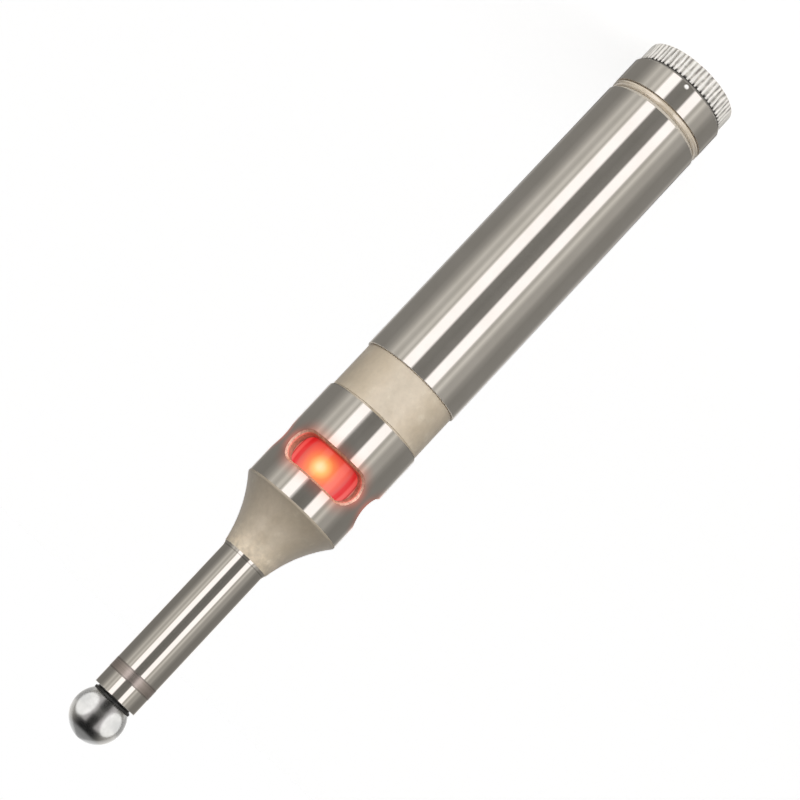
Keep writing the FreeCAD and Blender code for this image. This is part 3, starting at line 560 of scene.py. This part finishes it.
def knurled_steel():
    """Bright plated teeth, lighter at their tops and darker in their grooves as painted shade,
    and near black where the grooves run out under the collar, as painted shadow."""
    m = Material("knurled_steel", (0.90, 0.87, 0.82), 0.45, 0.34)
    tree = m.tree
    radius = m.radius()
    tops = mapped(tree, radius, CAP_RADIUS - 0.32 * MM, CAP_RADIUS - 0.07 * MM, smooth=True)
    speck = noise(tree, m.place, 2600.0, 3.0, 0.6)
    tooth_top_colour = mix(tree, mapped(tree, speck, 0.35, 0.7), (0.90, 0.88, 0.84), (1.0, 0.985, 0.96))
    patch = mapped(tree, noise(tree, m.place, 800.0, 3.0, 0.6), 0.38, 0.62)
    # the grooves' darker colour is painted shade
    groove = mix(tree, patch, (0.27, 0.255, 0.235), (0.60, 0.58, 0.54))
    # painted shadow where the grooves run out under the collar
    groove_end_shadow = calc(
        tree, "MULTIPLY",
        mapped(tree, m.axes()[2], KNURL_LENGTH - 0.62 * MM, KNURL_LENGTH - 0.25 * MM),
        mapped(tree, radius, CAP_RADIUS - 0.12 * MM, CAP_RADIUS - 0.22 * MM))
    plain = mix(tree, tops, groove, tooth_top_colour)
    m.set("Base Color", mix(tree, groove_end_shadow, plain, (0.012, 0.011, 0.010)))
    m.set("Metallic", mapped(tree, groove_end_shadow, 0.0, 1.0, 0.45, 0.0))
    m.set("Roughness", mapped(tree, speck, 0.3, 0.75, 0.26, 0.46))
    m.set("Normal", bump(tree, speck, 0.15, 0.00004))
    return m.material


def inlay_metal():
    """Satin band with a fine turned lay, and a dark line where it meets the stylus."""
    m = Material("inlay_metal", (0.52, 0.465, 0.435), 1.0, 0.27)
    tree = m.tree
    low, high = ends("stylus_band")
    rings = noise(tree, stretched(tree, m.place, (60, 60, 16000)), 1.0, 2.0, 0.5)
    base = mix(tree, mapped(tree, rings, 0.35, 0.65), (0.45, 0.395, 0.365), (0.52, 0.46, 0.43))
    height = m.axes()[2]
    edge = calc(tree, "MINIMUM", calc(tree, "SUBTRACT", height, low),
                calc(tree, "SUBTRACT", high, height))
    edge = mapped(tree, edge, 0.16 * MM, 0.34 * MM)
    m.set("Base Color", mix(tree, edge, (0.33, 0.30, 0.28), base))
    m.set("Roughness", mapped(tree, rings, 0.3, 0.7, 0.27, 0.34))
    m.set("Normal", bump(tree, rings, 0.05, 0.00002))
    return m.material


def tan_plastic(name="tan_plastic", roughness=0.34, **inputs):
    """Machined insulating plastic: a warm mottle with pale flecks, and a fine turned lay."""
    m = Material(name, (0.62, 0.53, 0.41), 0.0, roughness, IOR=1.75, **inputs)
    tree = m.tree
    mottle = noise(tree, m.place, 420.0, 5.0, 0.65)
    cloud = noise(tree, m.place, 110.0, 3.0, 0.55)
    speck = noise(tree, m.place, 1100.0, 3.0, 0.6)
    grain = noise(tree, stretched(tree, m.place, (500, 500, 5000)), 1.0, 3.0, 0.6)
    base = mix(tree, mapped(tree, cloud, 0.35, 0.65), (0.57, 0.485, 0.37), (0.665, 0.57, 0.45))
    base = mix(tree, mapped(tree, mottle, 0.50, 0.30, 0.0, 0.5), base, (0.545, 0.445, 0.33))
    base = mix(tree, mapped(tree, mottle, 0.58, 0.74, 0.0, 0.55), base, (0.78, 0.71, 0.585))
    m.set("Base Color", times(tree, base, mapped(tree, speck, 0.34, 0.66, 0.955, 1.035)))
    m.set("Roughness", mapped(tree, mottle, 0.3, 0.7, roughness - 0.04, roughness + 0.06))
    m.set("Normal", bump(tree, grain, 0.12, 0.00004))
    return m


def cone_plastic():
    """The cone: painted paler beside the stylus and darker towards the head, as light and
    shade.
    """
    m = tan_plastic("cone_plastic")
    tree = m.tree
    low, high = ends("insulating_cone")
    height = m.axes()[2]
    foot = ends("window_housing")[1]
    shade = ramp(tree, mapped(tree, height, foot, high), CONE_SHADE)
    patch = noise(tree, m.place, 900.0, 4.0, 0.6)
    patch = mapped(tree, patch, 0.35, 0.65, 0.80, 1.14)
    patch = mix_value(tree, mapped(tree, height, low + (high - low) * 0.6, high), 1.0, patch)
    m.set("Base Color", times(tree, times(tree, m.fed("Base Color"), shade), patch))
    return m.material


def seal_plastic():
    """The ring: glossier, and paler on its upper side as painted light."""
    m = tan_plastic("seal_plastic", 0.30, Coat_Weight=1.0, Coat_Roughness=0.10, Coat_IOR=2.4)
    shade = ramp(m.tree, mapped(m.tree, m.axes()[2], *ends("seal_ring")), SEAL_SHADE)
    m.set("Base Color", times(m.tree, m.fed("Base Color"), shade))
    return m.material


def grained_plastic(name, dark, light, roughness):
    """Moulded plastic or rubber with a fine skin."""
    m = Material(name, light, 0.0, roughness)
    grain = noise(m.tree, m.place, 900.0, 3.0, 0.6)
    m.set("Base Color", mix(m.tree, mapped(m.tree, grain, 0.35, 0.65), dark, light))
    m.set("Roughness", mapped(m.tree, grain, 0.3, 0.7, roughness - 0.06, roughness + 0.06))
    m.set("Normal", bump(m.tree, grain, 0.15, 0.00003))
    return m.material


def drawn_metal(name, dark, light, roughness):
    """Small turned, drawn or plated metal with the lay of its tool."""
    m = Material(name, light, 1.0, roughness)
    grain = noise(m.tree, stretched(m.tree, m.place, (200, 200, 6000)), 1.0, 2.0, 0.5)
    m.set("Base Color", mix(m.tree, mapped(m.tree, grain, 0.35, 0.65), dark, light))
    m.set("Roughness", mapped(m.tree, grain, 0.3, 0.7, roughness - 0.05, roughness + 0.08))
    m.set("Normal", bump(m.tree, grain, 0.12, 0.00002))
    return m.material


def pin_steel():
    """The lock pin's polished end, its middle painted white as a highlight: a bright dot."""
    m = Material("pin_steel", (1.0, 1.0, 0.98), 0.1, 0.3)
    tree = m.tree
    low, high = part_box("collar_lock_pin")
    middle = (low + high) / 2
    width = high.x - low.x
    x, _y, z = m.axes()
    off = distance(tree, calc(tree, "SUBTRACT", x, middle.x),
                   calc(tree, "SUBTRACT", z, middle.z))
    edge = mapped(tree, off, width * 0.26, width * 0.5, smooth=True)
    speck = noise(tree, m.place, 4000.0, 2.0, 0.5)
    # the white middle is a painted highlight
    painted_glint = mix(tree, mapped(tree, speck, 0.3, 0.7), (0.96, 0.95, 0.93), (1.0, 1.0, 0.98))
    m.set("Base Color", mix(tree, edge, painted_glint, (0.55, 0.53, 0.50)))
    m.set("Metallic", mapped(tree, edge, 0.0, 1.0, 0.1, 0.9))
    return m.material


def led_clear():
    """A lamp's clear body, lit."""
    m = Material("led_clear", (0.95, 0.55, 0.35), 0.0, 0.15, Coat_Weight=0.5)
    die = noise(m.tree, m.place, 1500.0)
    m.set("Emission Color", mix(m.tree, die, (1.0, 0.45, 0.15), (1.0, 0.75, 0.35)))
    m.set("Emission Strength", 4.0)
    return m.material


# plain slots, each with its dark and light colour and its roughness
PLASTICS = {
    "seat_black": ((0.012, 0.012, 0.012), (0.03, 0.03, 0.03), 0.32),
    # the washer's rubber is black, and its near black also serves as the painted shadow in the
    # gap between the collar and the knurl
    "washer_rubber": ((0.008, 0.008, 0.008), (0.02, 0.02, 0.02), 0.6),
    "board_green": ((0.02, 0.11, 0.045), (0.04, 0.17, 0.07), 0.38),
    "white_plastic": ((0.72, 0.72, 0.69), (0.82, 0.82, 0.79), 0.40),
    "resistor_body": ((0.50, 0.38, 0.24), (0.62, 0.49, 0.33), 0.25),
    "cell_jacket": ((0.08, 0.09, 0.11), (0.14, 0.15, 0.17), 0.30),
    "sleeve_film": ((0.68, 0.68, 0.63), (0.78, 0.78, 0.73), 0.45),
}
METALS = {
    "spring_steel": ((0.42, 0.42, 0.42), (0.62, 0.62, 0.61), 0.30),
    "plain_steel": ((0.45, 0.45, 0.44), (0.60, 0.60, 0.59), 0.28),
    "brass_contact": ((0.62, 0.45, 0.18), (0.78, 0.60, 0.28), 0.24),
}
# tubes with satin edges, each with the colour of the lower one, painted darker than the upper
# as shade
EDGED = {"shank_tube": (0.50, 0.465, 0.41), "end_collar": (0.16, 0.15, 0.135)}


def make_materials():
    """A material for every slot of the record."""
    materials = {
        "polished_steel": ground_steel("polished_steel").material,
        "ball_chrome": ball_chrome(),
        "knurled_steel": knurled_steel(),
        "inlay_metal": inlay_metal(),
        "tan_plastic": tan_plastic().material,
        "lens_red": lens_red(),
        "led_clear": led_clear(),
        "pin_steel": pin_steel(),
    }
    for slot, look in PLASTICS.items():
        materials[slot] = grained_plastic(slot, *look)
    for slot, look in METALS.items():
        materials[slot] = drawn_metal(slot, *look)
    return materials


def dress(materials):
    """Give every CAD node the material of its slot in the record, or its own form of it."""
    own = {"window_housing": head_steel(), "stylus_tube": stylus_steel(),
           "insulating_cone": cone_plastic(), "seal_ring": seal_plastic()}
    for name, lower in EDGED.items():
        own[name] = edged_steel(name + "_steel", name, lower)
    for part in frame["record"]["subparts"]:
        name = part["node"]
        slots = frame["nodes"][name].data.materials
        slots.clear()
        slots.append(own.get(name, materials[part["material_slot"]]))


# ---- pieces ----

def placed(name, data):
    """A new object in the scene."""
    thing = bpy.data.objects.new(name, data)
    bpy.context.collection.objects.link(thing)
    return thing


def skin(name, rings, steps, material, node):
    """A piece turned about the tool's axis, which replaces a node. Each ring is given as a
    (radius, height) at every step, and a ring of no radius closes the piece."""
    form = bmesh.new()
    rows = []
    turns = [2 * math.pi * step / steps for step in range(steps)]
    for ring in rings:
        places = [ring(turn) for turn in turns]
        if places[0][0] == 0:
            rows.append([form.verts.new((0, 0, places[0][1]))] * steps)
        else:
            rows.append([
                form.verts.new((radius * math.sin(turn), -radius * math.cos(turn), height))
                for turn, (radius, height) in zip(turns, places)])
    for lower, upper in zip(rows, rows[1:]):
        for step in range(steps):
            after = (step + 1) % steps
            corners = [lower[step], lower[after], upper[after], upper[step]]
            form.faces.new([corner for place, corner in enumerate(corners)
                            if corner not in corners[:place]])
    bmesh.ops.recalc_face_normals(form, faces=form.faces)
    mesh = bpy.data.meshes.new(name)
    form.to_mesh(mesh)
    form.free()
    mesh.shade_smooth()
    mesh.set_sharp_from_angle(angle=SHARP_ANGLE)
    mesh.materials.append(material)
    piece = placed(name, mesh)
    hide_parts(node)
    return piece


def plain_ring(radius, height):
    """A round ring."""
    return lambda turn: (radius, height)


def knurl_ring(limit, height):
    """A ring of the knurl: no tooth is quite like the next, and none runs quite straight."""
    def place(turn):
        tooth = turn * KNURL_TEETH / (2 * math.pi)
        sway = 0.0
        for size, by_tooth, by_height in KNURL_SWAYS:
            sway += size * math.sin(by_tooth * tooth + height / MM * by_height)
        from_middle = abs((tooth + sway) % 1.0 - 0.5) * 2
        by_tooth, by_height = KNURL_SHALLOW_WAVE
        wave = math.sin(by_tooth * round(tooth) + by_height * height / MM)
        deep = KNURL_DEPTH * (1 - KNURL_SHALLOW + KNURL_SHALLOW * wave)
        groove = deep * (0.5 + 0.5 * math.cos(math.pi * from_middle))
        return min(limit, CAP_RADIUS - groove), height
    return place


def thread_ring(height):
    """A ring of the thread: a right-handed V helix that fades out at both its ends."""
    top = CAP_TOP - SPIGOT_EDGE

    def place(turn):
        share = (height / THREAD_PITCH - turn / (2 * math.pi)) % 1.0
        flank = max(0.0, 1 - abs(share - 0.5) * 2 - THREAD_CREST) / (1 - THREAD_CREST)
        fade = min(1.0, max(0.0, (height - KNURL_LENGTH) / THREAD_PITCH),
                   (top - height) / THREAD_PITCH + THREAD_RUNOUT)
        return SPIGOT_RADIUS - THREAD_DEPTH * flank * fade, height
    return place


def cap_pieces(materials):
    """The cap in two skins: its knurled head, and its threaded spigot with the battery's
    bore."""
    rings = [plain_ring(0, 0), plain_ring(CAP_RADIUS - CAP_EDGE - KNURL_DEPTH, 0)]
    for row in range(EDGE_ROWS + 1):
        sweep = math.radians(90 * row / EDGE_ROWS)
        rings.append(knurl_ring(CAP_RADIUS - CAP_EDGE * (1 - math.sin(sweep)),
                                CAP_EDGE * (1 - math.cos(sweep))))
    straight = KNURL_LENGTH - CAP_BACK_EDGE - CAP_EDGE
    for row in range(1, KNURL_ROWS + 1):
        rings.append(knurl_ring(CAP_RADIUS, CAP_EDGE + straight * row / KNURL_ROWS))
    rings.append(knurl_ring(CAP_RADIUS - CAP_BACK_EDGE, KNURL_LENGTH))
    rings.append(plain_ring(SPIGOT_RADIUS - THREAD_DEPTH, KNURL_LENGTH))
    steps = KNURL_TEETH * KNURL_STEPS
    knurl = skin("cap_knurl", rings, steps, materials["knurled_steel"], "battery_cap")
    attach(knurl, "cap")

    length = CAP_TOP - SPIGOT_EDGE - KNURL_LENGTH
    rows = round(length / THREAD_PITCH * THREAD_ROWS)
    rings = [plain_ring(SPIGOT_RADIUS, KNURL_LENGTH - SPIGOT_SINK)]
    rings += [thread_ring(KNURL_LENGTH + length * row / rows) for row in range(rows + 1)]
    rings += [plain_ring(SPIGOT_RADIUS - SPIGOT_EDGE, CAP_TOP), plain_ring(CAP_BORE, CAP_TOP),
              plain_ring(CAP_BORE, CAP_FLOOR), plain_ring(0, CAP_FLOOR)]
    thread = skin("cap_thread", rings, THREAD_STEPS, materials["plain_steel"], "battery_cap")
    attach(thread, "cap")


def ball_pieces(materials):
    """The ball's wire, and its spring, which rides on the swivel's body."""
    low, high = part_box("pull_wire")
    shoulder = low.z + WIRE_HEAD
    length = high.z - shoulder
    rows = round(length / WIRE_RING)
    rings = [plain_ring(0, low.z), plain_ring(high.x, low.z), plain_ring(high.x, shoulder)]
    rings += [plain_ring(WIRE_RADIUS, shoulder + length * row / rows)
              for row in range(rows + 1)]
    rings.append(plain_ring(0, high.z))
    wire = skin("ball_wire", rings, WIRE_STEPS, materials["spring_steel"], "pull_wire")
    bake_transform(wire)

    low, high = ends("return_spring")
    coil = placed("ball_spring", frame["nodes"]["return_spring"].data.copy())
    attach(coil, "swivel")
    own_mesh(coil)
    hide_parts("return_spring")


# ---- studio ----

def band_colours(tree, place, bands):
    """The studio's colour at a share of the radius from -1 to 1: its lamps are nearly
    neutral, and the rest is warm."""
    stops = []
    for share, level in bands:
        tint = NEUTRAL if level >= 1 else WARM
        stops.append(((share + 1) / 2, [level * part for part in tint]))
    return ramp(tree, mapped(tree, place, -1.0, 1.0), stops)


def mirrored_studio(tree):
    """What polished metal mirrors, by the direction that the ray leaves in."""
    x, y, z = split(tree, node_of(tree, "TexCoord").outputs["Generated"])
    length = calc(tree, "MAXIMUM", calc(tree, "MULTIPLY_ADD", y, -2.0, 2.0), TINY)
    length = calc(tree, "SQRT", length)
    half_x = calc(tree, "DIVIDE", x, length)
    half_z = calc(tree, "DIVIDE", z, length)
    half_turn = calc(tree, "SINE", calc(tree, "MULTIPLY", azimuth(tree, x, y), 0.5))
    steep = calc(tree, "MAXIMUM", mapped(tree, z, *STEEP_UP, smooth=True),
                 mapped(tree, z, *STEEP_DOWN, smooth=True))
    share = calc(tree, "SUBTRACT", half_x, half_turn)
    share = calc(tree, "MULTIPLY_ADD", share, steep, half_turn)
    seen = mix(tree, steep, band_colours(tree, share, BARREL_BANDS),
               band_colours(tree, half_x, OVERHEAD_BANDS))
    dark = [BELOW_LEVEL * part for part in WARM]
    seen = mix(tree, mapped(tree, half_z, *BELOW, smooth=True), seen, dark)
    reach = mapped(tree, calc(tree, "ABSOLUTE", half_x), *STRIP_REACH, smooth=True)
    strip = calc(tree, "MULTIPLY", mapped(tree, half_z, *STRIP_STARTS, smooth=True),
                 calc(tree, "SUBTRACT", 1.0, reach))
    seen = mix(tree, strip, seen, STRIP_LEVEL)
    seen = mix(tree, mapped(tree, half_z, *STRIP_STOPS, smooth=True), seen, BEHIND_LEVEL)
    darker = node_of(tree, "Gamma")
    feed(tree, seen, darker.inputs["Color"])
    gamma = mapped(tree, z, *LEVEL_RAYS, 1.0, LEVEL_GAMMA)
    feed(tree, gamma, darker.inputs["Gamma"])
    return darker.outputs["Color"]


def shading_light(tree):
    """What matt surfaces are lit by."""
    _x, y, z = split(tree, node_of(tree, "TexCoord").outputs["Generated"])
    towards = calc(tree, "MULTIPLY_ADD", calc(tree, "ABSOLUTE", y), KEY_LEVELNESS,
                   calc(tree, "MULTIPLY", z, -KEY_DROP))
    level = mapped(tree, towards, KEY_EDGE, 1.0, FILL_LEVEL, KEY_LEVEL, smooth=True)
    return times(tree, level, KEY_TINT)


def studio():
    """Soft light for shading, bands for what metal mirrors, and white behind the tool."""
    world = bpy.data.worlds.new("studio")
    bpy.context.scene.world = world
    world.use_nodes = True
    tree = world.node_tree
    background = tree.nodes["Background"]
    rays = node_of(tree, "LightPath").outputs
    lit = mix(tree, rays["Is Glossy Ray"], shading_light(tree), mirrored_studio(tree))
    seen = calc(tree, "ADD", rays["Is Camera Ray"], rays["Is Transmission Ray"], clamp=True)
    feed(tree, mix(tree, seen, lit, (1.0, 1.0, 1.0)), background.inputs["Color"])
    background.inputs["Strength"].default_value = 1.0


def lit_alone(name, thing):
    """A collection for lamps that light one thing alone."""
    receivers = bpy.data.collections.new(name)
    receivers.objects.link(thing)
    return receivers


def ball_lamps(ball):
    """Soft lamps on either side of the ball, for the ball alone: it is too small for the
    studio's narrow bands to show on it."""
    receivers = lit_alone("ball_lit", ball)
    low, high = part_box("contact_ball")
    centre = (low + high) / 2
    for turn, width, tall, level in BALL_LAMPS:
        for side in (-1, 1):
            data = bpy.data.lights.new("ball_lamp", "AREA")
            data.shape = "ELLIPSE"
            data.size = width
            data.size_y = tall
            data.energy = level * math.pi * (math.pi * width * tall / 4)
            lamp = placed("ball_lamp", data)
            away = Vector((side * math.sin(turn), -math.cos(turn), BALL_LAMP_CLIMB))
            lamp.location = centre + away * BALL_LAMP_DISTANCE
            lamp.rotation_euler = away.to_track_quat("Z", "Y").to_euler()
            lamp.light_linking.receiver_collection = receivers


def floor():
    """A wide pale disc under the tool. Camera rays see it white, with the tool's soft
    shadow."""
    mesh = bpy.data.meshes.new("floor")
    form = bmesh.new()
    bmesh.ops.create_circle(form, cap_ends=True, segments=96, radius=FLOOR_RADIUS)
    form.to_mesh(mesh)
    form.free()
    disc = placed("floor", mesh)
    m = Material("floor_white", FLOOR_COLOUR, 0.0, 0.9)
    m.set("Specular IOR Level", 0.0)
    m.set("Emission Color", solid(1.0))
    seen = node_of(m.tree, "LightPath").outputs["Is Camera Ray"]
    m.set("Emission Strength", calc(m.tree, "MULTIPLY", seen, FLOOR_GLOW))
    mesh.materials.append(m.material)
    disc.visible_glossy = False
    disc.visible_diffuse = False
    disc.visible_shadow = False

    data = bpy.data.lights.new("floor_sun", "SUN")
    data.angle = SUN_SPREAD
    data.energy = SUN_LEVEL * math.pi / FLOOR_COLOUR
    sun = placed("floor_sun", data)
    sun.rotation_euler = SUN_FROM.to_track_quat("Z", "Y").to_euler()
    sun.light_linking.receiver_collection = lit_alone("floor_lit", disc)


def camera():
    """The photograph's camera: it looks a little down, and is rolled far over."""
    forward = Vector((math.sin(CAMERA_YAW) * math.cos(CAMERA_PITCH),
                      math.cos(CAMERA_YAW) * math.cos(CAMERA_PITCH),
                      math.sin(CAMERA_PITCH)))
    level = Vector((math.cos(CAMERA_YAW), -math.sin(CAMERA_YAW), 0))
    upright = level.cross(forward)
    right = math.cos(CAMERA_ROLL) * level + math.sin(CAMERA_ROLL) * upright
    up = -math.sin(CAMERA_ROLL) * level + math.cos(CAMERA_ROLL) * upright
    data = bpy.data.cameras.new("camera")
    data.lens = CAMERA_LENS
    data.sensor_width = CAMERA_SENSOR
    data.clip_start, data.clip_end = CAMERA_CLIP
    view = placed("camera", data)
    turn = Matrix((right, up, -forward)).transposed().to_4x4()
    view.matrix_world = Matrix.Translation((0, -CAMERA_DISTANCE, CAMERA_HEIGHT)) @ turn
    bpy.context.scene.camera = view


def main():
    """Dress the nodes, redraw the pieces that need it, and set up the studio."""
    materials = make_materials()
    dress(materials)
    cap_pieces(materials)
    ball_pieces(materials)
    studio()
    ball_lamps(frame["nodes"]["contact_ball"])
    floor()
    camera()
    bpy.context.scene.view_settings.view_transform = "Standard"


main()
